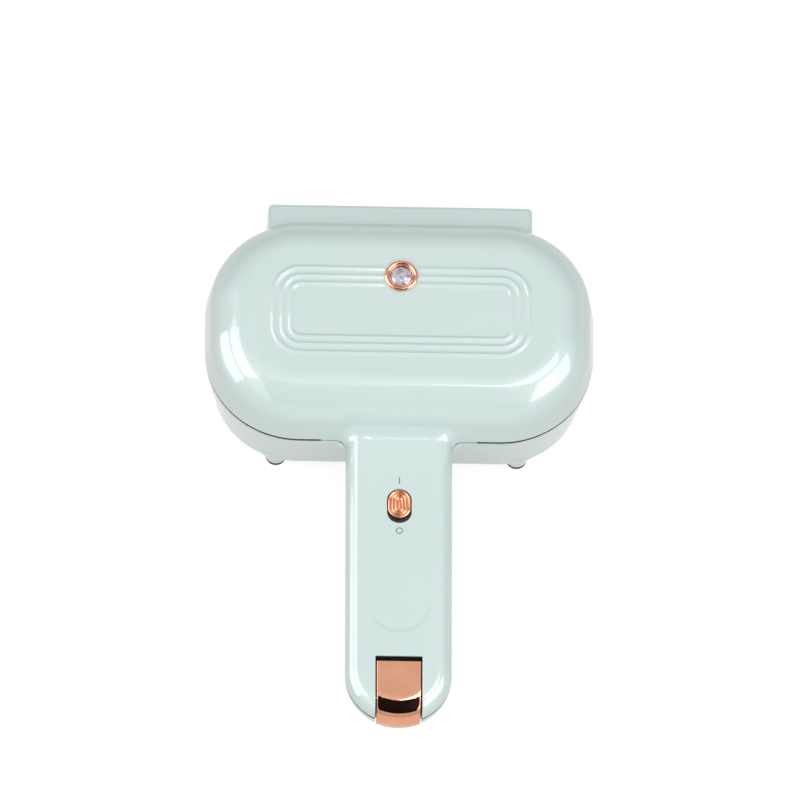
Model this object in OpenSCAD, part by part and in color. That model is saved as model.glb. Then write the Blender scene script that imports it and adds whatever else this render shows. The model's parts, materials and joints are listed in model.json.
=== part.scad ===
// Donut maker: two hinged halves with ring-shaped baking plates, a latch lever and a slide switch.
// All sizes are in millimetres.
// Every module draws in body coordinates: x and y from the middle of the round-cornered body, and z from
// the seam between base and lid. in_frame() moves that to the origin, which is on the floor below the
// middle of the whole object. The handle points towards -Y.

/* [Body] */
// Width of the body across the baking plates
body_w = 234; // [195:1:285]
// Depth of the body without handle and rear bar
body_d = 137; // [128:1:165]
// Corner radius of the body outline at the seam
corner_r = 57; // [48:1:62]
// Height of the lid above the seam
lid_h = 38; // [35:1:46]
// Height of the base below the seam
base_h = 46; // [44:1:56]
// Height of the feet under the base
foot_h = 8; // [6:0.5:12]
// Wall thickness of the plastic shells
wall = 2.4; // [2:0.1:3]
// Gap at the seam between the two halves
seam_gap = 0.8; // [0.4:0.1:1.2]
// How far the lid wall leans in up to its shoulder
lid_draft = 2; // [1:0.5:3]
// Radius of the lid shoulder
shoulder_r = 25; // [20:1:27]
// How far the base wall leans in down to its floor
base_draft = 6.8; // [4:0.2:8]
// Bevel along the bottom edge of the base
base_bevel = 3; // [1:0.5:3.5]
// Width of the lip under the front rim of the lid
lip_w = 94; // [80:1:100]
// How far the lip reaches down into the seam
lip_drop = 0.4; // [0.2:0.1:0.6]

/* [Lid details] */
// Distances from the corner centres of the raised ripples
ripple_r = [16.8, 11.4, 6.3];
// Height of a ripple
ripple_h = 0.7; // [0.4:0.1:1.2]
// Radius of a ripple's round back
ripple_back_r = 2.2; // [1.8:0.1:3]
// Distance of the indicator behind the middle of the body
indicator_y = 23.2; // [18:0.2:28]
// Inner radius of the indicator bezel
bezel_inner_r = 6.6; // [5:0.1:8]
// Outer radius of the indicator bezel
bezel_outer_r = 10; // [9:0.1:12]

/* [Handle] */
// Width of the handle
handle_w = 64; // [54:1:76]
// Distance from the middle of the body to the handle tip
handle_reach = 256; // [215:1:307]
// Height of the handle top above the seam
handle_up = 12; // [11:0.5:16]
// Depth of the handle bottom below the seam
handle_down = 16; // [15:0.5:20]
// Edge radius of the handle top
handle_top_r = 10; // [7:0.5:10.5]
// Edge radius of the handle bottom
handle_bottom_r = 14; // [10:0.5:14.5]

/* [Rear bar and hinge] */
// Width of the rear bar and stand
bar_w = 160; // [140:1:180]
// Depth of the rear bar behind the body
bar_d = 12; // [11.5:0.5:16]
// Height of the bar top above the seam
bar_up = 20; // [18:0.5:24]
// Edge radius along the bar top
bar_r = 3; // [2:0.5:4]
// Height of the bar's lower edge above the seam
bar_low = 1.6; // [1.4:0.1:2.4]
// Depth of the stand's top below the seam
stand_low = 1.4; // [1.2:0.1:3]
// Height of the hinge axis above the seam
hinge_up = 8; // [7.5:0.1:9]
// Distance of each hinge post from the middle
post_x = 55; // [40:1:60]
// Width of a hinge post
post_w = 12; // [10:1:16]
// Thickness of a hinge post
post_t = 7; // [5:0.5:7]
// Radius of a hinge pin
hinge_pin_r = 2.5; // [2:0.1:3]
// Radial running clearance of a pin
run_clear = 0.06; // [0.03:0.01:0.09]
// Largest opening angle of the lid
lid_open = 100; // [80:1:100]

/* [Latch] */
// Width of the latch lever
latch_w = 26.5; // [22:0.5:30]
// Clearance on each side of the latch lever
latch_side = 0.75; // [0.5:0.05:1.2]
// Distance from the handle tip back to the notch's rear wall
notch_len = 39.6; // [36:0.2:44]
// Gap between the latch pad and the notch's rear wall
pad_gap = 3; // [2:0.5:4]
// Depth of the latch pad below the handle top
pad_drop = 0.7; // [0.2:0.1:1.5]
// Thickness of the latch pad
pad_t = 2.5; // [2:0.1:3]
// Radius of the latch's bent front
latch_bend_r = 14; // [12:0.5:15]
// Thickness of the latch's bent front
latch_arm_t = 5; // [4:0.5:6]
// Radius of the latch pin
latch_pin_r = 1.5; // [1.2:0.1:2]
// Room for the return spring at each side of the latch hub
spring_room = 5; // [4.5:0.1:5.5]
// Distance from the latch pin to the keeper's underside
hook_r = 12; // [11:0.1:13]
// Play between hook and keeper
hook_play = 0.3; // [0.2:0.1:0.5]

/* [Switch] */
// Distance of the switch in front of the middle of the body
switch_y = 116.8; // [108:0.2:130]
// Length of the switch recess
recess_len = 22.4; // [20:0.2:28]
// Width of the switch recess
recess_w = 14.6; // [12:0.2:18]
// Depth of the switch recess
recess_depth = 2.6; // [2.4:0.1:3]
// Length of the sliding button
slider_len = 18.6; // [15:0.2:20]
// Gap at each side of the sliding button
slider_side = 0.5; // [0.3:0.1:0.8]
// Gap left at each end of the button's travel
slider_end = 0.9; // [0.4:0.1:1.2]

/* [Baking plates] */
// Radius of a donut ring's middle circle
ring_r = 16; // [13:0.5:16]
// Radius of a trough's round section
trough_r = 9.2; // [7:0.1:9.2]
// Thickness of the trough shell
dome_t = 2; // [1.5:0.1:2]
// Thickness of the flat part of a plate
plate_t = 2.5; // [2:0.1:3]
// Gap between a plate and the shell around it
plate_gap = 1; // [0.6:0.1:1.5]
// Plain margin between the outline of a plate and its ring pattern
plate_margin = 8; // [6:0.5:9]
// Distance of a plate's face from the seam
face_drop = 0.6; // [0.5:0.1:1]
// Radius of the tubular heater
heater_r = 3.2; // [2.5:0.1:3.5]
// Thickness of the heat shields
shield_t = 0.8; // [0.6:0.1:1.2]
// Gap between stacked inner pieces
inner_gap = 0.3; // [0.2:0.1:0.6]

/* [Hidden] */
$fn = 48;

mint = [0.80, 0.88, 0.86];
mint_dark = [0.70, 0.80, 0.78];
rose_gold = [0.78, 0.50, 0.40];
steel = [0.72, 0.72, 0.74];
cast = [0.20, 0.20, 0.21];
sheet = [0.80, 0.81, 0.82];
black = [0.08, 0.08, 0.08];
copper = [0.75, 0.33, 0.20];
amber = [1, 0.6, 0.3];
crystal = [0.8, 0.8, 0.88];

eps = 0.01;
half_gap = seam_gap / 2;
corner_x = body_w / 2 - corner_r;
corner_y = body_d / 2 - corner_r;
back_y = body_d / 2;
rear_y = back_y + bar_d;
frame_y = (handle_reach - rear_y) / 2;
frame_z = base_h + foot_h;

// Lid shoulder
shoulder_x = corner_r - lid_draft - shoulder_r;
shoulder_z = lid_h - shoulder_r;
lip_inset = 0.15;

// Handle
handle_r = handle_w / 2;
tip_y = handle_r - handle_reach;
root_overlap = 4;
root_y = -back_y + wall + root_overlap;
notch_y = notch_len - handle_reach;

// Handle covers and their screws
cover_t = 1.5;
cover_gap = 0.3;
cover_lift = 0.1;
cover_screw_r = 1.15;
cover_screw_len = 6;
cover_head_r = 2.4;
cover_head_t = 0.35;
cover_boss_r = 3;
cover_bore_r = 1.2;
screw_from_body = 20;
screw_from_notch = 12;
screw_ys = [-back_y - screw_from_body, notch_y + screw_from_notch];

// Hinge
hinge_y = rear_y - bar_d / 2;
knuckle_r = bar_d / 2 - 0.5;
cheek_t = 4;
cheek_gap = 0.3;
pin_len = post_w + 2 * (cheek_gap + cheek_t) + 1;
post_lift = 12;
post_bottom = -base_h + post_lift;
post_screw_up = 6;
post_screw_z = post_bottom + post_screw_up;
post_fit = 0.3;
stand_screw_head = 1.3;
stand_fit = 0.1;
stand_reach = 12;
past_upright = lid_open - 90;
slot_spare = 0.9;
slot_top = hinge_up + (bar_d / 2 + 0.1) * tan(past_upright) + post_t / 2 / cos(past_upright) + slot_spare;

// Latch
notch_w = latch_w + 2 * latch_side;
pad_top = handle_up - pad_drop;
bend_y = latch_bend_r - handle_reach;
bend_z = pad_top - latch_bend_r;
latch_pin_y = bend_y + 1;
latch_pin_z = 3;
hub_w = notch_w - 2 * spring_room;
hub_r = 4;
lower_notch_y = bend_y - 4;
keeper_len = 8.2;
keeper_y = latch_pin_y - keeper_len;
keeper_top = -4.5;
hook_t = 3;
hook_len = 3.5;
hook_y = keeper_y - 0.3;
hook_bottom = 20;
hook_cut = 7;
arm_wrap = 30;

// Switch
recess_floor = handle_up - recess_depth;
well_t = 1.2;
slider_travel = recess_len - slider_len - 2 * slider_end;
slider_y = -switch_y + slider_travel / 2;
stem_w = 4;
stem_len = 6;
stem_clear = 0.3;
switch_top = recess_floor - well_t - 0.2;

// Plates
plate_r = corner_r - wall - plate_gap;
plate_w = body_w - 2 * (wall + plate_gap);
plate_d = body_d - 2 * (wall + plate_gap);
columns = 3;
rows = 2;
pitch_x = round(10 * (plate_w - 2 * plate_margin) / columns) / 10;
pitch_y = round(10 * (plate_d - 2 * plate_margin) / rows) / 10;
dome_r = trough_r + dome_t;
dome_drop = face_drop + dome_r;
heater_z = dome_drop + inner_gap + heater_r;
heater_bend = 20;
heater_hx = pitch_x - heater_bend;
heater_hy = max(1, pitch_y / 2 - heater_bend);
shield_z = heater_z + heater_r + inner_gap;
shield_inset = 9.6;
shield_r = corner_r - wall - shield_inset;
shield_rim = 4;
terminal_x = 12;
terminal_r = 1.6;
terminal_len = 9;
boss_inset = 18.5;
boss_x = pitch_x / 2;
boss_y = back_y - boss_inset;
boss_r = 4;
boss_drop = shield_z + shield_t + 2;
screw_r = 1.5;
pilot_r = 1.6;
screw_head_r = 3;
screw_recess = 3.2;
thermostat_r = 7;
thermostat_t = 5;
thermostat_button_t = 4;
thermostat_tab = [0.8, 3, 5];
thermostat_tab_x = 3.5;
fuse_r = 2.2;
fuse_len = 11;
fuse_lead_r = 0.5;
fuse_lead_len = 20;

// Feet
foot_inset_x = 44.5;
foot_inset_y = 15;
foot_x = body_w / 2 - foot_inset_x;
foot_y = back_y - foot_inset_y;
foot_r = 7;
pad_h = 2;
foot_spots = [[-1, -1], [1, -1], [-1, 1], [1, 1]];

// Cord gland at the left end of the stand
gland_drop = 6;
gland_z = -base_h / 2 - gland_drop;
gland_bore_r = 3.2;
gland_len = 10;
gland_flange_t = 1.5;

// Wires and terminal block
wire_r = 1.2;
wire_sides = 8;
wire_hole_r = 4;
wire_hole_inset = 12;
wire_hole_x = wire_hole_inset - bar_w / 2;
wire_start_x = wall + 1 - bar_w / 2;
wire_end_gap = 1.5;
fuse_lead_x = 27;
block = [20, 14, 8];
block_y = 30;
block_hole_r = 1.8;
block_hole_pitch = 6;

// Indicator lamp
lamp_r = 2.6;
lamp_len = 7;
holder_r = 5;
holder_len = 9;

module in_frame() {
    translate([0, frame_y, frame_z]) children();
}

// Copies the children to the four combinations of plus and minus x and y
module four(x, y) {
    for (side = [-1, 1])
        for (end = [-1, 1])
            translate([side * x, end * y, 0]) children();
}

// Sweeps a section round a rounded rectangle: section x points outwards, section y points up
module around(hx, hy) {
    corners = [[1, 1], [-1, 1], [-1, -1], [1, -1]];
    for (i = [0 : 3])
        translate([corners[i][0] * hx, corners[i][1] * hy, 0])
            rotate([0, 0, 90 * i]) rotate_extrude(angle = 90) children();
    for (end = [0, 1])
        mirror([0, end, 0])
            translate([-hx, hy, 0]) rotate([90, 0, 90]) linear_extrude(2 * hx) children();
    for (side = [0, 1])
        mirror([side, 0, 0])
            translate([hx, hy, 0]) rotate([90, 0, 0]) linear_extrude(2 * hy) children();
}

// Fills the middle of a swept shape between two heights
module core(hx, hy, z0, z1) {
    translate([-hx, -hy, z0]) cube([2 * hx, 2 * hy, z1 - z0]);
}

// Sweeps a section along the handle: a straight stretch and a round tip
module along_handle(from_y) {
    translate([0, from_y, 0]) rotate([90, 0, 0]) linear_extrude(from_y - tip_y) {
        children();
        mirror([1, 0]) children();
    }
    translate([0, tip_y, 0]) rotate([0, 0, 180]) rotate_extrude(angle = 180) children();
}

// Rod along X
module rod_x(r, len) {
    rotate([0, 90, 0]) cylinder(r = r, h = len, center = true);
}

// Slab with semicircular ends, long along Y
module stadium(w, len, z0, z1) {
    translate([-w / 2, -(len - w) / 2, z0]) cube([w, len - w, z1 - z0]);
    for (end = [-1, 1])
        translate([0, end * (len - w) / 2, z0]) cylinder(r = w / 2, h = z1 - z0);
}

function unit(v) = v / norm(v);

// Direction of a wire at point i: along its only neighbour at an end, halfway between the two elsewhere
function wire_dir(p, i) =
    i == 0 ? unit(p[1] - p[0]) :
    i == len(p) - 1 ? unit(p[i] - p[i - 1]) :
    unit(unit(p[i + 1] - p[i]) + unit(p[i] - p[i - 1]));

// Ring of eight points round point i of a wire
function wire_ring(p, i, r) =
    let (dir = wire_dir(p, i))
    let (side = unit(cross(dir, [0.31, 0.53, 0.79])))
    let (up = cross(dir, side))
    [for (k = [0 : wire_sides - 1]) let (a = 360 * k / wire_sides) p[i] + r * (cos(a) * side + sin(a) * up)];

// Insulated wire swept through a list of points
module wire(p, r) {
    n = wire_sides;
    last = (len(p) - 1) * n;
    points = [for (i = [0 : len(p) - 1]) each wire_ring(p, i, r)];
    walls = [
        for (i = [0 : len(p) - 2])
            for (k = [0 : n - 1])
                let (a = i * n + k, b = i * n + (k + 1) % n)
                each [[a, b, b + n], [a, b + n, a + n]],
    ];
    start_cap = [for (k = [n - 1 : -1 : 0]) k];
    end_cap = [for (k = [0 : n - 1]) last + k];
    polyhedron(points = points, faces = concat(walls, [start_cap], [end_cap]), convexity = 6);
}

// Lid section, moved in by the thickness t
module lid_section(t, z0) {
    polygon([
        [0, z0],
        [corner_r - t, z0],
        [corner_r - lid_draft - t, shoulder_z],
        [shoulder_x, lid_h - t],
        [0, lid_h - t],
    ]);
    intersection() {
        translate([shoulder_x, shoulder_z]) circle(r = shoulder_r - t);
        translate([shoulder_x, shoulder_z]) square(shoulder_r);
    }
}

module lid_body(t, z0) {
    around(corner_x, corner_y) lid_section(t, z0);
    core(corner_x, corner_y, z0, lid_h - t);
}

// Base section, moved in by the thickness t, with the given floor height and edge bevel
module base_section(t, z1, floor_z, bevel) {
    polygon([
        [0, z1],
        [corner_r - t, z1],
        [corner_r - base_draft - t, floor_z + bevel],
        [corner_r - base_draft - t - bevel, floor_z],
        [0, floor_z],
    ]);
}

module base_body(t, z1, floor_z, bevel) {
    around(corner_x, corner_y) base_section(t, z1, floor_z, bevel);
    core(corner_x, corner_y, floor_z, z1);
}

// Handle section from z0 up to the top, moved in by the thickness t
module handle_top_section(t, z0) {
    r = handle_top_r;
    polygon([
        [0, z0],
        [handle_r - t, z0],
        [handle_r - t, handle_up - r],
        [handle_r - r, handle_up - t],
        [0, handle_up - t],
    ]);
    intersection() {
        translate([handle_r - r, handle_up - r]) circle(r = r - t);
        translate([handle_r - r, handle_up - r]) square(r);
    }
}

// Handle section from z0 down to the bottom, moved in by the thickness t
module handle_bottom_section(t, z0) {
    r = handle_bottom_r;
    polygon([
        [0, z0],
        [handle_r - t, z0],
        [handle_r - t, r - handle_down],
        [handle_r - r, t - handle_down],
        [0, t - handle_down],
    ]);
    intersection() {
        translate([handle_r - r, r - handle_down]) circle(r = r - t);
        translate([handle_r - r, -handle_down]) square(r);
    }
}

// Notch for the latch, grown by t, open at the handle tip
module notch(back, t) {
    x = notch_w / 2 + t;
    translate([-x, -handle_reach - 5, -40]) cube([2 * x, back + t + handle_reach + 5, 80]);
}

// Bar section in y and z with one round edge at the top rear, moved in by the thickness t
module bar_section(y0, z0, t) {
    r = bar_r - min(t, bar_r - 0.5);
    top = bar_up - t;
    rear = rear_y - t;
    translate([y0, z0]) square([rear - y0 - r, top - z0]);
    translate([y0, z0]) square([rear - y0, top - z0 - r]);
    translate([rear - r, top - r]) circle(r = r);
}

module bar_body(y0, z0, t) {
    w = bar_w - 2 * t;
    translate([-w / 2, 0, 0]) rotate([90, 0, 90]) linear_extrude(w) bar_section(y0, z0, t);
}

// Cheeks beside the hinge posts, which turn on the pins
module hinge_cheeks() {
    y0 = back_y - 0.5;
    z0 = hinge_up - knuckle_r;
    for (side = [-1, 1])
        for (end = [-1, 1]) {
            x = side * post_x + end * (post_w / 2 + cheek_gap + cheek_t / 2);
            translate([x - cheek_t / 2, y0, z0])
                cube([cheek_t, rear_y - wall / 2 - y0, bar_up - wall / 2 - z0]);
        }
}

// Openings for the posts in the rear wall of the bar
module post_slots() {
    w = post_w + 2;
    for (side = [-1, 1])
        translate([side * post_x - w / 2, hinge_y, -1]) cube([w, bar_d, slot_top + 1]);
}

module hinge_bores(r) {
    for (side = [-1, 1])
        translate([side * post_x, hinge_y, hinge_up]) rod_x(r, pin_len + 2);
}

// Raised ripples on the lid top, stopping short of the indicator
module ripples() {
    z = lid_h + ripple_h - ripple_back_r;
    difference() {
        for (r = ripple_r)
            around(corner_x, corner_y) intersection() {
                translate([r, z]) circle(r = ripple_back_r, $fn = 32);
                translate([r - ripple_back_r, lid_h - 0.5]) square([2 * ripple_back_r, ripple_h + 1]);
            }
        translate([0, indicator_y, lid_h - 2]) cylinder(r = bezel_outer_r + 1.5, h = 5);
    }
}

// Bosses in the upper half of the handle for the cover screws
module upper_handle_bosses() {
    z0 = half_gap + cover_t + cover_gap;
    for (y = screw_ys)
        translate([0, y, z0]) cylinder(r = cover_boss_r, h = handle_up - wall / 2 - z0);
}

module lower_handle_bosses() {
    z1 = -half_gap - cover_t - cover_gap;
    for (y = screw_ys)
        translate([0, y, wall / 2 - handle_down]) cylinder(r = cover_boss_r, h = handle_down - wall / 2 + z1);
}

module cover_screw_bores() {
    len = handle_up + handle_down - 2 * wall - 1;
    for (y = screw_ys)
        translate([0, y, -handle_down + wall]) cylinder(r = cover_bore_r, h = len);
}

module upper_shell() {
    difference() {
        union() {
            lid_body(0, half_gap);
            along_handle(root_y) handle_top_section(0, half_gap);
            bar_body(back_y - 8, bar_low, 0);
            ripples();
        }
        lid_body(wall, -1);
        along_handle(root_y) handle_top_section(wall, -1);
        difference() {
            bar_body(back_y, -1, wall);
            hinge_cheeks();
        }
    }
}

// Lip under the front wall of the lid at both sides of the handle, which narrows the seam
module front_lip() {
    for (side = [0, 1])
        mirror([side, 0, 0]) translate([handle_r, lip_inset - back_y, half_gap - lip_drop])
            cube([lip_w / 2 - handle_r, wall - 2 * lip_inset, lip_drop + 2 * lip_inset]);
}

module upper_housing() {
    color(mint) in_frame() difference() {
        union() {
            upper_shell();
            intersection() {
                along_handle(root_y) handle_top_section(0, half_gap);
                notch(notch_y, wall);
            }
            intersection() {
                lid_body(wall / 2, half_gap);
                four(boss_x, boss_y) translate([0, 0, boss_drop]) cylinder(r = boss_r, h = lid_h);
            }
            upper_handle_bosses();
            front_lip();
        }
        notch(notch_y, 0);
        post_slots();
        hinge_bores(hinge_pin_r + run_clear);
        cover_screw_bores();
        translate([0, latch_pin_y, latch_pin_z]) rod_x(latch_pin_r + 0.03, handle_w);
        translate([0, -switch_y, 0]) stadium(recess_w, recess_len, recess_floor - 2, handle_up + 1);
        translate([0, indicator_y, lid_h - 10]) cylinder(r = bezel_inner_r + 1, h = 20);
        four(boss_x, boss_y) translate([0, 0, boss_drop - 1]) cylinder(r = pilot_r, h = 9);
    }
}

module cover_plate(back, z0) {
    difference() {
        along_handle(root_y - 6) translate([0, z0]) square([handle_r - wall - cover_gap, cover_t]);
        notch(back, wall + cover_gap);
        for (y = screw_ys)
            translate([0, y, z0 - 1]) cylinder(r = screw_r + 0.1, h = cover_t + 2);
    }
}

module upper_handle_cover() {
    color(mint_dark) in_frame() cover_plate(notch_y, half_gap + cover_lift);
}

module lower_handle_cover() {
    color(mint_dark) in_frame() cover_plate(latch_pin_y + hub_r, -half_gap - cover_lift - cover_t);
}

// Screws up into the upper handle half, or down into the lower half when flipped
module cover_screws() {
    for (y = screw_ys)
        translate([0, y, half_gap + cover_lift]) {
            cylinder(r = cover_screw_r, h = cover_screw_len);
            translate([0, 0, -cover_head_t]) cylinder(r = cover_head_r, h = cover_head_t);
        }
}

module upper_cover_screws() {
    color(steel) in_frame() cover_screws();
}

module lower_cover_screws() {
    color(steel) in_frame() mirror([0, 0, 1]) cover_screws();
}

module lower_shell() {
    floor_z = -base_h;
    difference() {
        union() {
            base_body(0, -half_gap, floor_z, base_bevel);
            along_handle(root_y) handle_bottom_section(0, -half_gap);
        }
        base_body(wall, 1, floor_z + wall, 0);
        along_handle(root_y) handle_bottom_section(wall, 1);
    }
}

// Rib that the latch hook reaches under
module keeper() {
    w = notch_w + 2 * eps;
    translate([-w / 2, 0, 0]) rotate([90, 0, 90]) linear_extrude(w) intersection() {
        translate([latch_pin_y, latch_pin_z]) circle(r = hook_r, $fn = 96);
        translate([keeper_y, latch_pin_z - hook_r])
            square([lower_notch_y + 1 - keeper_y, hook_r + keeper_top]);
    }
}

module lower_housing() {
    color(mint) in_frame() difference() {
        union() {
            lower_shell();
            intersection() {
                along_handle(root_y) handle_bottom_section(0, -half_gap);
                notch(lower_notch_y, wall);
            }
            four(foot_x, foot_y) translate([0, 0, -base_h - foot_h + pad_h])
                cylinder(r1 = foot_r - 1, r2 = foot_r, h = foot_h - pad_h + 4);
            four(boss_x, boss_y) translate([0, 0, -base_h + wall / 2])
                cylinder(r = boss_r + 0.5, h = base_h - wall / 2 - boss_drop - 0.3);
            lower_handle_bosses();
        }
        difference() {
            notch(lower_notch_y, 0);
            keeper();
        }
        cover_screw_bores();
        four(boss_x, boss_y) translate([0, 0, -base_h - 1]) {
            cylinder(r = screw_r + 0.3, h = base_h);
            cylinder(r = screw_head_r + 0.4, h = 7);
        }
        // Hole for the supply wires from the stand
        translate([wire_hole_x, back_y - 20, gland_z]) rotate([-90, 0, 0]) cylinder(r = wire_hole_r, h = 30);
    }
}

// Block behind the base: upright rest, hinge post housing and cord inlet
module rear_stand() {
    z0 = -base_h;
    z1 = -stand_low;
    y0 = back_y - stand_reach;
    color(mint) in_frame() difference() {
        translate([-bar_w / 2, y0, z0]) cube([bar_w, rear_y - y0, z1 - z0]);
        translate([-bar_w / 2 + wall, y0 - 1, z0 + wall])
            cube([bar_w - 2 * wall, rear_y - wall - y0 + 1, z1 - z0 - 2 * wall]);
        base_body(-stand_fit, -half_gap, z0, base_bevel);
        for (side = [-1, 1])
            translate([side * post_x - post_w / 2 - post_fit, hinge_y - post_t / 2 - post_fit, z1 - wall - 1])
                cube([post_w + 2 * post_fit, post_t + 2 * post_fit, wall + 2]);
        translate([-bar_w / 2, hinge_y, gland_z]) rod_x(gland_bore_r + 2, 3 * wall);
        for (side = [-1, 1])
            translate([side * post_x, rear_y, post_screw_z]) rotate([90, 0, 0]) {
                cylinder(r = screw_r + 0.1, h = 3 * wall, center = true);
                cylinder(r = screw_head_r + 0.1, h = 2 * stand_screw_head, center = true);
            }
        four(foot_x, foot_y) translate([0, 0, -base_h - 1]) cylinder(r = foot_r + 0.2, h = 6);
    }
}

module hinge_post(side) {
    color(steel) in_frame() translate([side * post_x, 0, 0]) difference() {
        union() {
            translate([-post_w / 2, hinge_y - post_t / 2, post_bottom])
                cube([post_w, post_t, hinge_up - post_bottom]);
            translate([0, hinge_y, hinge_up]) rod_x(knuckle_r, post_w);
        }
        translate([0, hinge_y, hinge_up]) rod_x(hinge_pin_r + 0.02, post_w + 2);
        translate([0, hinge_y + post_t, post_screw_z]) rotate([90, 0, 0])
            cylinder(r = screw_r + 0.05, h = 2 * post_t);
    }
}

module hinge_pin(side) {
    color(steel) in_frame() translate([side * post_x, hinge_y, hinge_up]) rod_x(hinge_pin_r, pin_len);
}

module stand_screws() {
    color(steel) in_frame() for (side = [-1, 1])
        translate([side * post_x, rear_y - stand_screw_head, post_screw_z]) rotate([90, 0, 0]) {
            translate([0, 0, 0.1 - stand_screw_head]) cylinder(r = screw_head_r, h = stand_screw_head - 0.1);
            cylinder(r = screw_r, h = bar_d / 2);
        }
}

// Plate with its face at z = 0 and its troughs hanging below
module plate_body() {
    difference() {
        union() {
            around(corner_x, corner_y) translate([0, -plate_t]) square([plate_r, plate_t]);
            core(corner_x, corner_y, -plate_t, 0);
            ring_spots() rotate_extrude() translate([ring_r, 0]) intersection() {
                circle(r = dome_r);
                translate([-dome_r, -dome_r]) square([2 * dome_r, dome_r]);
            }
            four(boss_x, boss_y) translate([0, 0, face_drop - boss_drop])
                cylinder(r = boss_r, h = boss_drop - face_drop);
        }
        ring_spots() rotate_extrude() translate([ring_r, 0]) circle(r = trough_r);
    }
}

module ring_spots() {
    for (i = [0 : columns - 1])
        for (j = [0 : rows - 1])
            translate([(i - (columns - 1) / 2) * pitch_x, (j - (rows - 1) / 2) * pitch_y, 0]) children();
}

module lower_plate() {
    color(cast) in_frame() difference() {
        translate([0, 0, -face_drop]) plate_body();
        four(boss_x, boss_y) translate([0, 0, -boss_drop - 1]) cylinder(r = pilot_r, h = boss_drop - 9);
    }
}

module upper_plate() {
    color(cast) in_frame() difference() {
        mirror([0, 0, 1]) translate([0, 0, -face_drop]) plate_body();
        four(boss_x, boss_y) {
            cylinder(r = screw_r + 0.1, h = boss_drop + 1);
            cylinder(r = screw_head_r + 0.1, h = face_drop + 2.2);
        }
    }
}

// Heater loop at z = 0 with a gap and two terminals at the back
module heater_loop() {
    difference() {
        around(heater_hx, heater_hy) translate([heater_bend, 0]) circle(r = heater_r, $fn = 32);
        translate([-8, heater_hy + heater_bend - 10, -10]) cube([16, 20, 20]);
    }
    for (side = [-1, 1])
        translate([side * terminal_x, heater_hy + heater_bend, 0]) cylinder(r = terminal_r, h = terminal_len);
}

module lower_heater() {
    color(steel) in_frame() translate([0, 0, -heater_z]) mirror([0, 0, 1]) heater_loop();
}

module upper_heater() {
    color(steel) in_frame() translate([0, 0, heater_z]) heater_loop();
}

// Sheet metal dish between heater and housing, drawn with its floor at z = 0 and its rim pointing down
module shield_body() {
    difference() {
        union() {
            around(corner_x, corner_y) square([shield_r, shield_t]);
            core(corner_x, corner_y, 0, shield_t);
            around(corner_x, corner_y) translate([shield_r - shield_t, -shield_rim])
                square([shield_t, shield_rim + shield_t / 2]);
        }
        four(boss_x, boss_y) translate([0, 0, -1]) cylinder(r = boss_r + 0.5, h = shield_t + 2);
        for (side = [-1, 1])
            translate([side * terminal_x, heater_hy + heater_bend, -1])
                cylinder(r = 2 * terminal_r, h = shield_t + 2);
        for (side = [-1, 1])
            translate([side * boss_x, 0, -1]) cylinder(r = thermostat_r + 1, h = shield_t + 2);
    }
}

module upper_heat_shield() {
    color(sheet) in_frame() translate([0, 0, shield_z]) shield_body();
}

module lower_heat_shield() {
    color(sheet) in_frame() mirror([0, 0, 1]) translate([0, 0, shield_z]) shield_body();
}

// Disc thermostat hanging under a plate, drawn downwards from z = 0
module thermostat_body() {
    bottom = -thermostat_t - thermostat_button_t;
    tab = thermostat_tab;
    translate([0, 0, -thermostat_t]) cylinder(r = thermostat_r, h = thermostat_t);
    translate([0, 0, bottom]) cylinder(r = thermostat_r - 1.5, h = thermostat_button_t + eps);
    for (side = [-1, 1])
        translate([side * thermostat_tab_x - tab[0] / 2, -tab[1] / 2, bottom - tab[2]])
            cube([tab[0], tab[1], tab[2] + eps]);
}

module lower_thermostat() {
    color(black) in_frame() translate([boss_x, 0, -face_drop - plate_t - 0.1]) thermostat_body();
}

module upper_thermostat() {
    color(black) in_frame() mirror([0, 0, 1])
        translate([boss_x, 0, -face_drop - plate_t - 0.1]) thermostat_body();
}

module thermal_fuse() {
    color(sheet) in_frame() translate([-boss_x, 0, -face_drop - plate_t - 3]) {
        rod_x(fuse_r, fuse_len);
        rod_x(fuse_lead_r, fuse_lead_len);
    }
}

// Screws from below through the base bosses into the lower plate
module lower_plate_screws() {
    color(steel) in_frame() four(boss_x, boss_y) translate([0, 0, -base_h + screw_recess]) {
        cylinder(r = screw_head_r, h = 2.8);
        cylinder(r = screw_r, h = base_h - screw_recess - boss_drop + 10);
    }
}

// Screws from the face of the upper plate into the lid bosses
module upper_plate_screws() {
    color(steel) in_frame() four(boss_x, boss_y) translate([0, 0, face_drop + 0.2]) {
        cylinder(r = screw_head_r, h = 1.9);
        cylinder(r = screw_r, h = boss_drop + 5);
    }
}

module foot_pad(i) {
    spot = foot_spots[i];
    color(black) in_frame()
        translate([spot[0] * foot_x, spot[1] * foot_y, -base_h - foot_h]) cylinder(r = foot_r - 1, h = pad_h);
}

module terminal_block() {
    color(black) in_frame() translate([wire_hole_x - block[0] / 2, block_y, -base_h + wall]) difference() {
        cube(block);
        for (i = [-1 : 1])
            translate([block[0] / 2 + i * block_hole_pitch, block[1] / 2, 2])
                cylinder(r = block_hole_r, h = block[2]);
    }
}

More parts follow.
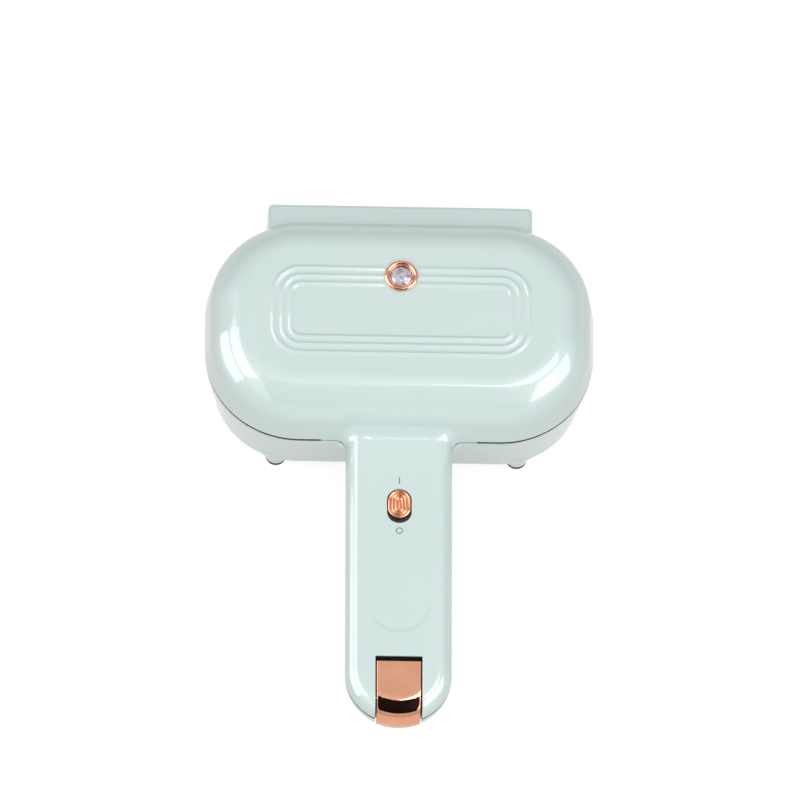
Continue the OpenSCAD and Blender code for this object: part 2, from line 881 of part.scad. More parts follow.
module lower_wiring() {
    z = -base_h + wall + block[2] / 2;
    block_mid = block_y + block[1] / 2;
    terminal_y = heater_hy + heater_bend;
    terminal_z = -shield_z - 8;
    color(copper) in_frame() {
        wire([
            [wire_start_x, hinge_y, gland_z],
            [wire_hole_x, hinge_y, gland_z],
            [wire_hole_x, back_y - stand_reach, gland_z],
            [wire_hole_x, block_y + block[1] + wire_end_gap, z],
        ], wire_r);
        wire([
            [wire_hole_x + block[0] / 2 + wire_end_gap, block_mid, z],
            [-terminal_x, block_mid, z],
            [-terminal_x, terminal_y, terminal_z],
        ], wire_r);
        wire([[wire_hole_x, block_y - wire_end_gap, z], [-boss_x - fuse_lead_x, 0, z + 6]], wire_r);
        wire([[terminal_x, terminal_y, terminal_z], [28, 14, terminal_z]], wire_r);
    }
}

module cord_gland() {
    color(black) in_frame() translate([-bar_w / 2, hinge_y, gland_z]) rotate([0, -90, 0]) difference() {
        union() {
            translate([0, 0, 0.05]) cylinder(r = gland_bore_r + 3, h = gland_flange_t);
            cylinder(r1 = gland_bore_r + 2, r2 = gland_bore_r + 1, h = gland_len);
            translate([0, 0, -wall]) cylinder(r = gland_bore_r + 1.9, h = wall + 0.5);
        }
        translate([0, 0, -wall - 1]) cylinder(r = gland_bore_r, h = gland_len + wall + 2);
    }
}

module indicator_bezel() {
    mid = (bezel_inner_r + bezel_outer_r) / 2;
    tube_r = (bezel_outer_r - bezel_inner_r) / 2;
    color(rose_gold) in_frame() translate([0, indicator_y, 0]) {
        rotate_extrude() {
            intersection() {
                translate([mid, lid_h + 0.9]) circle(r = tube_r, $fn = 32);
                translate([0, lid_h + 0.02]) square([bezel_outer_r + 1, 2 * tube_r]);
            }
            translate([bezel_inner_r, lid_h - 3]) square([0.95, 4]);
        }
    }
}

module indicator_jewel() {
    r = bezel_inner_r - 0.15;
    color(crystal) in_frame() translate([0, indicator_y, lid_h - 2.4]) {
        cylinder(r = r, h = 1.6);
        translate([0, 0, 1.6]) cylinder(r1 = r, r2 = r / 2, h = 2.2);
    }
}

module indicator_lamp() {
    color(amber) in_frame() translate([0, indicator_y, lid_h - 13]) {
        cylinder(r = lamp_r, h = lamp_len);
        translate([0, 0, lamp_len]) sphere(r = lamp_r);
    }
}

module lamp_holder() {
    color(black) in_frame() translate([0, indicator_y, lid_h - 12]) difference() {
        cylinder(r = holder_r, h = holder_len - wall / 2);
        translate([0, 0, -1]) cylinder(r = lamp_r + 0.2, h = holder_len + 3);
    }
}

module switch_well() {
    color(black) in_frame() translate([0, -switch_y, 0]) difference() {
        stadium(recess_w + 3, recess_len + 3, recess_floor - well_t, handle_up - wall - 0.05);
        stadium(recess_w, recess_len, recess_floor, handle_up);
        translate([-stem_w / 2 - stem_clear, -(stem_len + slider_travel) / 2 - stem_clear, 0])
            cube([stem_w + 2 * stem_clear, stem_len + slider_travel + 2 * stem_clear, handle_up]);
    }
}

module switch_body() {
    z0 = half_gap + cover_t + 0.4;
    color(black) in_frame() translate([0, -switch_y, 0]) difference() {
        translate([-6, -11, z0]) cube([12, 22, switch_top - z0]);
        translate([-stem_w / 2 - stem_clear, -(stem_len + slider_travel) / 2 - stem_clear, z0 + 2])
            cube([stem_w + 2 * stem_clear, stem_len + slider_travel + 2 * stem_clear, handle_up]);
    }
}

// Sliding button, drawn at its on end next to the body
module power_slider() {
    w = recess_w - 2 * slider_side;
    z1 = handle_up + 0.2;
    color(rose_gold) in_frame() translate([0, slider_y, 0]) {
        difference() {
            stadium(w, slider_len, recess_floor + 0.2, z1);
            stadium(w - 2.4, slider_len - 2.4, z1 - 0.8, z1 + 1);
        }
        difference() {
            stadium(w - 5, slider_len - 5, z1 - 1, z1 - 0.1);
            stadium(w - 7.4, slider_len - 7.4, z1 - 0.8, z1 + 1);
        }
        stadium(w - 10, slider_len - 10, z1 - 1, z1 - 0.1);
        translate([-stem_w / 2, -stem_len / 2, half_gap + cover_t + 3])
            cube([stem_w, stem_len, recess_floor - half_gap - cover_t - 2.5]);
    }
}

module latch_pin() {
    len = notch_w + 2 * wall - 0.4;
    color(steel) in_frame() translate([0, latch_pin_y, latch_pin_z]) rod_x(latch_pin_r, len);
}

// Three coils of the return spring beside the lever's hub
module latch_spring() {
    color(steel) in_frame() for (i = [0 : 2])
        translate([hub_w / 2 + 1.1 + 1.2 * i, latch_pin_y, latch_pin_z]) rotate([0, 90, 0])
            rotate_extrude() translate([latch_pin_r + 0.9, 0]) circle(r = 0.5, $fn = 16);
}

// Lever section in y and z: pad, bent front and hook
module lever_section() {
    translate([bend_y, pad_top - pad_t]) square([notch_y - pad_gap - bend_y, pad_t]);
    translate([bend_y, bend_z]) difference() {
        intersection() {
            circle(r = latch_bend_r, $fn = 96);
            polygon([
                [0, 0],
                [0, 2 * latch_bend_r],
                [-2 * latch_bend_r, 2 * latch_bend_r],
                [-2 * latch_bend_r, -2 * latch_bend_r * tan(arm_wrap)],
            ]);
        }
        circle(r = latch_bend_r - latch_arm_t, $fn = 96);
    }
}

module hook_section() {
    translate([latch_pin_y, latch_pin_z]) intersection() {
        difference() {
            circle(r = hook_r + hook_play + hook_t, $fn = 96);
            circle(r = hook_r + hook_play, $fn = 96);
        }
        translate([hook_y - latch_pin_y - hook_len, -hook_bottom]) square([hook_len, hook_bottom - hook_cut]);
    }
}

module latch_lever() {
    color(rose_gold) in_frame() difference() {
        intersection() {
            union() {
                translate([-latch_w / 2, 0, 0]) rotate([90, 0, 90]) linear_extrude(latch_w) {
                    lever_section();
                    hook_section();
                }
                translate([0, latch_pin_y, latch_pin_z]) rod_x(hub_r, hub_w);
            }
            translate([0, tip_y, -30]) union() {
                cylinder(r = handle_r, h = 60, $fn = 96);
                translate([-handle_r, 0, 0]) cube([2 * handle_r, 60, 60]);
            }
        }
        translate([0, latch_pin_y, latch_pin_z]) rod_x(latch_pin_r + run_clear, latch_w + 2);
    }
}

module upper_wiring() {
    switch_end = -switch_y + 11.5;
    bend_front = -back_y + 9;
    bend_back = bend_front + 2.5;
    z = shield_z + 3;
    color(copper) in_frame() {
        wire([
            [6, switch_end, 5],
            [9, bend_front, 6],
            [9, bend_back, z],
            [9, 10, z],
            [3, indicator_y - 4.5, z],
        ], wire_r);
        wire([
            [-6, switch_end, 5],
            [-9, bend_front, 6],
            [-9, bend_back, z],
            [-terminal_x, heater_hy + heater_bend - 4, z],
        ], wire_r);
    }
}

lower_housing();
lower_handle_cover();
rear_stand();
lower_plate();
lower_heater();
lower_heat_shield();
lower_thermostat();
thermal_fuse();
terminal_block();
lower_wiring();
cord_gland();
hinge_post(-1);  // hinge_post_left
hinge_post(1);  // hinge_post_right
hinge_pin(-1);  // hinge_pin_left
hinge_pin(1);  // hinge_pin_right
foot_pad(0);  // foot_pad_front_left
foot_pad(1);  // foot_pad_front_right
foot_pad(2);  // foot_pad_rear_left
foot_pad(3);  // foot_pad_rear_right
lower_plate_screws();
stand_screws();
lower_cover_screws();
upper_housing();
upper_handle_cover();
upper_plate();
upper_heater();
upper_heat_shield();
upper_thermostat();
indicator_bezel();
indicator_jewel();
indicator_lamp();
lamp_holder();
switch_well();
switch_body();
latch_pin();
latch_spring();
upper_wiring();
upper_plate_screws();
upper_cover_screws();
latch_lever();
power_slider();
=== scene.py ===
"""Looks of the donut maker: moulded shells meshed from distance fields, trim, plates, materials and light.

Every shape is drawn in millimetres in body coordinates: x and y from the middle of the round-cornered
body, z from the seam between base and lid, with the handle towards -y. make() moves it to the frame.
"""

import math

import bmesh
import bpy
import numpy as np
from mathutils import Matrix, Vector
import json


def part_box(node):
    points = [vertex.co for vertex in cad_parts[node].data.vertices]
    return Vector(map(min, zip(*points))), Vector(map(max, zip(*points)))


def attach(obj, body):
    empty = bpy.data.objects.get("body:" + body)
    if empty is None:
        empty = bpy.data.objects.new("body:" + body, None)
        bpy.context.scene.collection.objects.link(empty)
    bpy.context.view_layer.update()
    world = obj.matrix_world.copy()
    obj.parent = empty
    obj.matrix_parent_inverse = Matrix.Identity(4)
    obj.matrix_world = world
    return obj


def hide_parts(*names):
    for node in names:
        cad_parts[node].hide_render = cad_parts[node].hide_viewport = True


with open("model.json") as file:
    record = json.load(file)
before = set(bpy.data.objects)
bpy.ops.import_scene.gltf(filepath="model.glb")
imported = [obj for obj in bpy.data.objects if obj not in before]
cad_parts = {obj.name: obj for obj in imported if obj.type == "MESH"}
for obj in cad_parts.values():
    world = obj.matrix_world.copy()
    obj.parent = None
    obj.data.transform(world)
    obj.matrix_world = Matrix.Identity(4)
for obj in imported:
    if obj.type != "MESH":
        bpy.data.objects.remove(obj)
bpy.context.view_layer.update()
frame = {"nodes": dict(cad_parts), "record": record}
nodes = frame["nodes"]

# ---------------------------------------------------------------- sizes, worked out from the frame

MM = 0.001
WALL = 2.4
HALF_GAP = 0.4
PLATE_GAP = 1.0

_plate_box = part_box("lower_plate")
ORIGIN = Vector((0, (_plate_box[0].y + _plate_box[1].y) / 2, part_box("lower_housing")[1].z + HALF_GAP * MM))


def span(node):
    """Lowest and highest corner of a CAD node in body coordinates"""
    low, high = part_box(node)
    return (low - ORIGIN) / MM, (high - ORIGIN) / MM


LID_LOW, LID_HIGH = span("upper_housing")
STAND_LOW, STAND_HIGH = span("rear_stand")
PLATE_HIGH = span("lower_plate")[1]
PIN_LOW, PIN_HIGH = span("hinge_pin_right")
WELL_LOW, WELL_HIGH = span("switch_well")
BEZEL_LOW, BEZEL_HIGH = span("indicator_bezel")
LATCH_LOW, LATCH_HIGH = span("latch_lever")
SLIDER_LOW, SLIDER_HIGH = span("power_slider")
FOOT_LOW, FOOT_HIGH = span("foot_pad_front_right")

CORNER_R = 57.0
HALF_W = LID_HIGH.x
BACK_Y = PLATE_HIGH.y + PLATE_GAP + WALL
CORNER_X = HALF_W - CORNER_R
CORNER_Y = BACK_Y - CORNER_R
REAR_Y = STAND_HIGH.y
RIPPLE_H = 0.7
LID_H = LID_HIGH.z - RIPPLE_H
SHOULDER_R = 25.0
LID_LEAN = math.radians(7.8)
SHOULDER_Z = LID_H - SHOULDER_R
SHOULDER_PLAN = 30.0

HANDLE_R = 32.0
TIP_Y = LATCH_LOW.y + HANDLE_R
HANDLE_UP = 12.0
HANDLE_DOWN = 16.0
TOP_R = 10.0
BOTTOM_R = 14.0
ROOT_Y = -BACK_Y + WALL + 4
ROOT_BLEND = 7.0

BASE_FLOOR = -46.0
BASE_EDGE_R = 5.0
BASE_LEAN = math.radians(8.5)
BASE_PLAN = CORNER_R - (BASE_EDGE_R - (BASE_FLOOR + BASE_EDGE_R) * math.sin(BASE_LEAN)) / math.cos(BASE_LEAN)

BAR_HALF = STAND_HIGH.x
BAR_LOW = 1.6
BAR_UP = 20.0
BAR_R = 3.0
POST_X = (PIN_LOW.x + PIN_HIGH.x) / 2
HINGE_Y = (PIN_LOW.y + PIN_HIGH.y) / 2
HINGE_Z = (PIN_LOW.z + PIN_HIGH.z) / 2
POST_W = 12.0
CHEEK_T = 4.0
CHEEK_DROP = 5.5
SLOT_UP = 6.2
STAND_SCREW_R = 3.2
STAND_SCREW_Z = -28
STAND_SCREW_DEEP = 1.3

LATCH_HALF = LATCH_HIGH.x
NOTCH_HALF = LATCH_HALF + 0.75
NOTCH_Y = LATCH_HIGH.y + 3.0
LOWER_NOTCH_Y = TIP_Y - 22
LATCH_TOP = LATCH_HIGH.z
LATCH_R = 14.0
LATCH_PIN = (TIP_Y - 17, 3.0)

SWITCH_Y = (WELL_LOW.y + WELL_HIGH.y) / 2
RECESS_HALF = 7.3
RECESS_LEN = 22.4
INDICATOR_Y = (BEZEL_LOW.y + BEZEL_HIGH.y) / 2

RING_R = 16.0
TROUGH_R = 9.2
DOME_R = 11.2
FACE_DROP = 0.6
PLATE_T = 2.5
PITCH_X = (2 * PLATE_HIGH.x - 16) / 3
PITCH_Y = (2 * PLATE_HIGH.y - 16) / 2
PLATE_PLAN = CORNER_R - WALL - PLATE_GAP
BOSS = (PITCH_X / 2, BACK_Y - 18.5)
BOSS_DROP = 21.6
FOOT = ((FOOT_LOW.x + FOOT_HIGH.x) / 2, -(FOOT_LOW.y + FOOT_HIGH.y) / 2)

# ---------------------------------------------------------------- distance fields


def plan(x, y):
    """Distance from the core rectangle between the corner centres"""
    return np.hypot(np.maximum(np.abs(x) - CORNER_X, 0), np.maximum(np.abs(y) - CORNER_Y, 0))


def along(x, y):
    """Distance from the middle line of the handle"""
    return np.hypot(x, np.minimum(y - TIP_Y, 0))


def rounded_edge(u, v, r, lean=0.0):
    """Wall that leans in by an angle, turns through a radius and ends in a flat; u is outwards, v upwards"""
    a = np.clip(np.arctan2(v, np.maximum(u, 1e-6)), lean, math.pi / 2)
    return u * np.cos(a) + v * np.sin(a) - r


def join(a, b, r):
    """Union with a fillet"""
    return np.maximum(r, np.minimum(a, b)) - np.hypot(np.maximum(r - a, 0), np.maximum(r - b, 0))


def meet(a, b, r):
    """Intersection with a rounded edge"""
    return np.minimum(-r, np.maximum(a, b)) + np.hypot(np.maximum(a + r, 0), np.maximum(b + r, 0))


def cut(a, b, r):
    """Subtraction with a rounded edge"""
    return meet(a, -b, r)


def rounded_box(x, y, z, low, high, r):
    """Distance to a box with rounded edges"""
    q = [np.abs(c - (a + b) / 2) - (b - a) / 2 + r for c, a, b in zip((x, y, z), low, high)]
    outside = np.sqrt(sum(np.maximum(c, 0) ** 2 for c in q))
    return outside + np.minimum(np.maximum(np.maximum(q[0], q[1]), q[2]), 0) - r


def smoothstep(t):
    """Smooth rise from 0 to 1 as the value goes from 0 to 1"""
    t = np.clip(t, 0, 1)
    return t * t * (3 - 2 * t)


def stadium(x, y, half_w, length):
    """Distance from a slot with round ends, long along y, in plan"""
    return np.hypot(x, np.maximum(np.abs(y) - (length / 2 - half_w), 0)) - half_w


def lid_body(x, y, z):
    """Lid without its handle and bar"""
    return rounded_edge(plan(x, y) - SHOULDER_PLAN, z - SHOULDER_Z, SHOULDER_R, LID_LEAN)


PANEL_HALF = 18.3
PANEL_END = -200.0
PANEL_DIP = 0.45
PANEL_EDGE = 2.6


def handle_top(x, y, z):
    """Upper half of the handle, with its shallow panel"""
    to_panel = np.hypot(x, np.minimum(y - PANEL_END - PANEL_HALF, 0)) - PANEL_HALF
    dip = PANEL_DIP * smoothstep(0.5 - to_panel / PANEL_EDGE)
    return rounded_edge(along(x, y) - (HANDLE_R - TOP_R), z - (HANDLE_UP - TOP_R) + dip, TOP_R)


def handle_bottom(x, y, z):
    """Lower half of the handle"""
    return rounded_edge(along(x, y) - (HANDLE_R - BOTTOM_R), BOTTOM_R - HANDLE_DOWN - z, BOTTOM_R)


def notch(x, y, back):
    """Slot for the latch, open at the tip of the handle"""
    return np.maximum(np.abs(x) - NOTCH_HALF, y - back)


BAR_TAPER = 0.03
BAR_FALL = 0.14


def bar(x, y, z):
    """Bar along the back of the lid"""
    wide = np.abs(x) + BAR_TAPER * (z - BAR_LOW)
    tall = z + BAR_FALL * (y - HINGE_Y) * smoothstep((z - BAR_LOW) / (BAR_UP - BAR_LOW))
    return rounded_box(wide, y, tall, (-BAR_HALF, BACK_Y - 8, BAR_LOW), (BAR_HALF, REAR_Y, BAR_UP), BAR_R)


def hinge_cavity(x, y, z):
    """Hollow of the bar, less the cheeks that turn on the pins"""
    hollow_low = (WALL - BAR_HALF, BACK_Y, -6)
    hollow_high = (BAR_HALF - WALL, REAR_Y - WALL, BAR_UP - WALL)
    hollow = rounded_box(x, y, z, hollow_low, hollow_high, 1)
    from_post = np.abs(np.abs(x) - POST_X)
    cheek_middle = POST_W / 2 + 2.3
    cheek = np.maximum(np.abs(from_post - cheek_middle) - CHEEK_T / 2, HINGE_Z - CHEEK_DROP - z)
    slot = np.maximum(np.maximum(from_post - POST_W / 2 - 1, HINGE_Y - y), z - HINGE_Z - SLOT_UP)
    return np.minimum(np.maximum(hollow, -cheek), slot)


LIP_HALF = 47.0
SEAM_R = 0.6
# Dark strip in the seam between lid and base: painted shade of the seam gap
SHADE_STRIP_IN = 0.9
SHADE_STRIP_DEEP = 2.3
SHADE_STRIP_DEEP_FRONT = 1.1
SHADE_STRIP_SUNK = 0.2
SHADE_STRIP_TUCK = 0.3
SHADE_STRIP_UP = 0.15
SHADE_STRIP_END = BACK_Y - 12


def base_outer(x, y, z):
    """Outer surface of the base and the lower half of the handle"""
    handle = np.maximum(handle_bottom(x, y, z), y - ROOT_Y)
    return join(base_body(x, y, z), handle, ROOT_BLEND)


def shade_strip_depth(x, y):
    """How deep the dark strip of painted seam shade reaches below the seam: less between the lips and along
    the handle
    """
    front = smoothstep((LIP_HALF + 1 - np.abs(x)) / 2) * smoothstep((-CORNER_Y - y) / 2)
    return SHADE_STRIP_DEEP + (SHADE_STRIP_DEEP_FRONT - SHADE_STRIP_DEEP) * front


def shade_strip(x, y, z):
    """Dark rubber strip in a rebate along the outer edge of the base: painted shade that stands in for the
    shadowed gap of the seam
    """
    outer = base_outer(x, y, z)
    strip = np.maximum(np.maximum(outer + SHADE_STRIP_SUNK, -outer - SHADE_STRIP_IN - SHADE_STRIP_TUCK), z - SHADE_STRIP_UP)
    strip = np.maximum(strip, -shade_strip_depth(x, y) - z)
    return np.maximum(np.maximum(strip, -notch(x, y, LOWER_NOTCH_Y + 1)), y - SHADE_STRIP_END)


WINDOW_R = 7.6
LIP_T = 1.6


def lid(x, y, z):
    """Lid shell with the upper half of the handle and the bar moulded to it"""
    body = lid_body(x, y, z)
    handle = np.maximum(handle_top(x, y, z), y - ROOT_Y)
    outer = join(join(body, handle, ROOT_BLEND), bar(x, y, z), 1.5)
    hollow = np.minimum(body, handle) + WALL
    hollow = np.maximum(hollow, -(notch(x, y, NOTCH_Y) - WALL))
    shell = meet(outer, HALF_GAP - z, SEAM_R)
    lip = np.maximum(np.maximum(outer, np.abs(x) - LIP_HALF), np.abs(y + BACK_Y - 1) - LIP_T)
    lip = np.maximum(lip, -z)
    shell = np.minimum(shell, np.maximum(lip, z - 1))
    shell = cut(shell, np.minimum(hollow, hinge_cavity(x, y, z)), 0.4)
    shell = cut(shell, notch(x, y, NOTCH_Y), 0.7)
    recess = np.maximum(stadium(x, y - SWITCH_Y, RECESS_HALF, RECESS_LEN), 5 - z)
    shell = cut(shell, recess, 0.5)
    window = np.maximum(np.hypot(x, y - INDICATOR_Y) - WINDOW_R, 20 - z)
    return cut(shell, window, 0.3)


def base_body(x, y, z):
    """Base without its handle and feet"""
    return rounded_edge(plan(x, y) - BASE_PLAN, BASE_FLOOR + BASE_EDGE_R - z, BASE_EDGE_R, BASE_LEAN)


FOOT_R = 6.0
FOOT_FLARE = 7
BOSS_R = 4.5
BORE_R = 3.4
SCREW_HOLE_R = 1.8
KEEPER_R = 12
KEEPER_REAR = 8.2
KEEPER_DROP = 1.5


def base(x, y, z):
    """Base shell with the lower half of the handle, its feet, screw bosses and latch keeper"""
    body = base_body(x, y, z)
    handle = np.maximum(handle_bottom(x, y, z), y - ROOT_Y)
    outer = base_outer(x, y, z)
    # Rebate that holds the dark strip of painted seam shade
    rebate = np.maximum(-outer - SHADE_STRIP_IN, -shade_strip_depth(x, y) - z)
    rebate = np.maximum(rebate, y - SHADE_STRIP_END)
    from_boss = np.hypot(np.abs(x) - BOSS[0], np.abs(y) - BOSS[1])
    hollow = np.minimum(body, handle) + WALL
    hollow = np.maximum(hollow, -(notch(x, y, LOWER_NOTCH_Y) - WALL))
    hollow = np.maximum(hollow, -np.maximum(from_boss - BOSS_R, z + BOSS_DROP))
    foot = np.hypot(np.abs(x) - FOOT[0], np.abs(y) - FOOT[1]) - FOOT_R - (z - FOOT_HIGH.z) / FOOT_FLARE
    foot = meet(foot, FOOT_HIGH.z - z, 0.4)
    outer = join(outer, np.maximum(foot, z - BASE_FLOOR - 6), 3)
    shell = cut(meet(outer, z + HALF_GAP, SEAM_R), hollow, 0.4)
    shell = np.maximum(shell, -rebate)
    keeper = np.maximum(np.hypot(y - LATCH_PIN[0], z - LATCH_PIN[1]) - KEEPER_R, np.abs(x) - NOTCH_HALF - 0.1)
    keeper = np.maximum(keeper, LATCH_PIN[0] - KEEPER_REAR - y)
    keeper = np.maximum(keeper, np.maximum(y - LOWER_NOTCH_Y - 1, z + KEEPER_DROP))
    shell = np.minimum(cut(shell, notch(x, y, LOWER_NOTCH_Y), 0.6), keeper)
    shell = cut(shell, np.maximum(from_boss - BORE_R, z + 40), 0.3)
    return np.maximum(shell, SCREW_HOLE_R - from_boss)


def stand(x, y, z):
    """Hollow block behind the base that carries the hinge posts"""
    outer = rounded_box(x, y, z, (-BAR_HALF, BACK_Y - 12, STAND_LOW.z), (BAR_HALF, REAR_Y, STAND_HIGH.z), 2.5)
    hollow_low = (WALL - BAR_HALF, 0, STAND_LOW.z + WALL)
    hollow_high = (BAR_HALF - WALL, REAR_Y - WALL, STAND_HIGH.z - WALL)
    shell = cut(outer, rounded_box(x, y, z, hollow_low, hollow_high, 1), 0.4)
    shell = cut(shell, base_body(x, y, z) - 0.1, 0.3)
    foot = np.hypot(np.abs(x) - FOOT[0], np.abs(y) - FOOT[1]) - 7.4
    shell = cut(shell, np.maximum(foot, z - BASE_FLOOR - 5), 0.3)
    from_post = np.abs(np.abs(x) - POST_X)
    slot = np.maximum(np.maximum(from_post - POST_W / 2 - 0.4, np.abs(y - HINGE_Y) - 4.4), -8 - z)
    shell = cut(shell, slot, 0.4)
    screw = np.maximum(np.hypot(from_post, z - STAND_SCREW_Z) - STAND_SCREW_R, REAR_Y - STAND_SCREW_DEEP - y)
    return cut(shell, screw, 0.2)


def plate(x, y, z):
    """Baking plate with its face at z = 0 and its troughs hanging down"""
    from_boss = np.hypot(np.abs(x) - BOSS[0], np.abs(y) - BOSS[1])
    slab = meet(meet(plan(x, y) - PLATE_PLAN, z, 0.8), -PLATE_T - z, 0.5)
    column = np.clip(np.round(x / PITCH_X), -1, 1) * PITCH_X
    tube = np.hypot(np.hypot(x - column, np.abs(y) - PITCH_Y / 2) - RING_R, z)
    dome = np.maximum(tube - DOME_R, z + 0.5)
    solid = join(slab, dome, 1.5)
    boss = np.maximum(np.maximum(from_boss - 4, z + 0.5), FACE_DROP - BOSS_DROP - z)
    solid = join(solid, boss, 1)
    return cut(solid, tube - TROUGH_R, 0.9)


def upper_plate(x, y, z):
    """The same baking plate turned face down, with recesses for its screws"""
    from_boss = np.hypot(np.abs(x) - BOSS[0], np.abs(y) - BOSS[1])
    return cut(plate(x, y, FACE_DROP - z), np.maximum(from_boss - 3.1, z - FACE_DROP - 2.2), 0.3)


def lower_plate(x, y, z):
    """Baking plate face up, a little below the seam"""
    return plate(x, y, z + FACE_DROP)


LATCH_WALL = 12
PIN_BORE_R = 1.6
HUB_R = 4
HUB_HALF = 9
HOOK_R = 13.8
HOOK_T = 3.0
HOOK_W = 3.6
HOOK_REACH = 10.3
HOOK_TOP = -4


def latch(x, y, z):
    """Lever whose pad curves down over the handle's tip, with its hub, web and hook"""
    rho = along(x, y)
    bend_z = LATCH_TOP - LATCH_R
    curl = np.hypot(rho - (HANDLE_R - LATCH_R), z - bend_z) - LATCH_R
    outer = np.where(z < bend_z, curl, rounded_edge(rho - (HANDLE_R - LATCH_R), z - bend_z, LATCH_R))
    inner = rounded_edge(rho - (HANDLE_R - LATCH_WALL), z - LATCH_TOP + 11.5, 9)
    lever = np.maximum(outer, -inner)
    lever = meet(lever, y - LATCH_HIGH.y, 0.5)
    lever = meet(lever, LATCH_LOW.z - z, 0.8)
    pin = np.hypot(y - LATCH_PIN[0], z - LATCH_PIN[1])
    hub = np.maximum(pin - HUB_R, np.abs(x) - HUB_HALF)
    web = np.maximum(np.maximum(np.abs(y - LATCH_PIN[0]) - 2, np.abs(z - 6) - 4), np.abs(x) - HUB_HALF)
    hook = np.maximum(np.abs(pin - HOOK_R) - HOOK_T / 2, np.abs(y - LATCH_PIN[0] + HOOK_REACH) - HOOK_W / 2)
    hook = np.maximum(hook, z - HOOK_TOP)
    lever = join(join(lever, np.minimum(hub, web), 1), hook, 0.5)
    lever = meet(lever, np.abs(x) - LATCH_HALF, 0.5)
    return cut(lever, pin - PIN_BORE_R, 0.2)


# ---------------------------------------------------------------- meshing a distance field


def ticks(low, high, step, *fine):
    """Grid lines from low to high, closer together in the fine stretches (start, end, step)"""
    marks = [low]
    while marks[-1] < high:
        steps = [s for a, b, s in fine if a - s < marks[-1] < b]
        marks.append(marks[-1] + min(steps, default=step))
    return np.array(marks)


def both_sides(marks):
    """Mirrors grid lines that start above zero to the other side"""
    return np.concatenate([-marks[::-1], marks])


def gradient(field, p, h=0.02):
    """Slope of a field at each point"""
    steps = np.eye(3) * h
    return np.stack([field(*(p + s).T) - field(*(p - s).T) for s in steps], axis=1) / (2 * h)


def surface_net(field, xs, ys, zs):
    """Points, quads and normals of the surface where the field is zero"""
    marks = (xs, ys, zs)
    d = field(*np.meshgrid(*marks, indexing="ij"))
    cells = np.array(d.shape) - 1
    total = np.zeros((cells.prod(), 3))
    count = np.zeros(cells.prod())
    quads = []
    for axis in range(3):
        b, c = (axis + 1) % 3, (axis + 2) % 3
        ahead = np.swapaxes(np.swapaxes(d, 0, axis)[1:], 0, axis)
        here = np.swapaxes(np.swapaxes(d, 0, axis)[:-1], 0, axis)
        i = np.argwhere((here < 0) != (ahead < 0))
        i = i[(i[:, b] > 0) & (i[:, c] > 0) & (i[:, b] < cells[b]) & (i[:, c] < cells[c])]
        first, second = here[tuple(i.T)], ahead[tuple(i.T)]
        point = np.stack([marks[k][i[:, k]] for k in range(3)], axis=1)
        step = marks[axis][i[:, axis] + 1] - marks[axis][i[:, axis]]
        point[:, axis] += step * first / (first - second)
        ring = []
        for back_b, back_c in ((1, 1), (0, 1), (0, 0), (1, 0)):
            cell = i.copy()
            cell[:, b] -= back_b
            cell[:, c] -= back_c
            flat = np.ravel_multi_index(cell.T, cells)
            np.add.at(total, flat, point)
            np.add.at(count, flat, 1)
            ring.append(flat)
        ring = np.stack(ring, axis=1)
        ring[first > 0] = ring[first > 0][:, ::-1]
        quads.append(ring)
    used = np.flatnonzero(count)
    number = np.full(len(count), -1)
    number[used] = np.arange(len(used))
    points = total[used] / count[used][:, None]
    return settle(field, points, 5, 1.2), number[np.concatenate(quads)]


def settle(field, points, rounds, reach):
    """Moves points onto the surface where the field is zero, each by no more than the reach"""
    home = points
    for _ in range(rounds):
        slope = gradient(field, points)
        size = np.maximum((slope**2).sum(1), 0.2)
        points = points - slope * (field(*points.T) / size)[:, None]
        points = home + np.clip(points - home, -reach, reach)
    return points


def thin_out(points, faces, share):
    """Leaves a share of the triangles, with fewer of them where the surface is flat"""
    mesh = bpy.data.meshes.new("dense")
    mesh.from_pydata(points.tolist(), [], faces.tolist())
    obj = bpy.data.objects.new("dense", mesh)
    bpy.context.scene.collection.objects.link(obj)
    decimate = obj.modifiers.new("thin_out", "DECIMATE")
    decimate.ratio = share
    result = obj.evaluated_get(bpy.context.evaluated_depsgraph_get()).to_mesh()
    co = np.empty(len(result.vertices) * 3)
    result.vertices.foreach_get("co", co)
    result_faces = [tuple(f.vertices) for f in result.polygons]
    obj.to_mesh_clear()
    bpy.data.objects.remove(obj)
    bpy.data.meshes.remove(mesh)
    return co.reshape(-1, 3), result_faces


def make(name, points, faces, material, body, replaces=(), normals=None, smooth=True):
    """Mesh object from points in body coordinates, riding on a CAD body"""
    mesh = bpy.data.meshes.new(name)
    verts = np.asarray(points, float) * MM + np.array(ORIGIN)
    mesh.from_pydata(verts.tolist(), [], [list(map(int, f)) for f in faces])
    mesh.polygons.foreach_set("use_smooth", [smooth] * len(mesh.polygons))
    mesh.materials.append(material)
    if normals is not None:
        normals = normals / np.maximum(np.linalg.norm(normals, axis=1), 1e-9)[:, None]
        mesh.normals_split_custom_set_from_vertices(normals.tolist())
    mesh.validate()
    obj = bpy.data.objects.new(name, mesh)
    bpy.context.scene.collection.objects.link(obj)
    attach(obj, body)
    if replaces:
        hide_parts(*replaces)
    return obj


def make_field(name, field, grid, share, material, body, replaces=()):
    """Piece meshed from a distance field, with exact normals from the field"""
    points, faces = thin_out(*surface_net(field, *grid), share)
    points = settle(field, points, 3, 0.3)
    normals = gradient(field, points, 0.01)
    return make(name, points, faces, MATERIALS[material], body, replaces, normals)


# ---------------------------------------------------------------- swept and turned pieces


def rounded_rectangle(r, steps=14):
    """Outline at distance r from the core rectangle: points and outward directions"""
    points = []
    for k, (sx, sy) in enumerate(((1, 1), (-1, 1), (-1, -1), (1, -1))):
        for s in range(steps + 1):
            a = math.pi / 2 * (k + s / steps)
            points.append((sx * CORNER_X, sy * CORNER_Y, math.cos(a), math.sin(a)))
    core = np.array(points)
    return core[:, :2] + r * core[:, 2:], core[:, 2:]


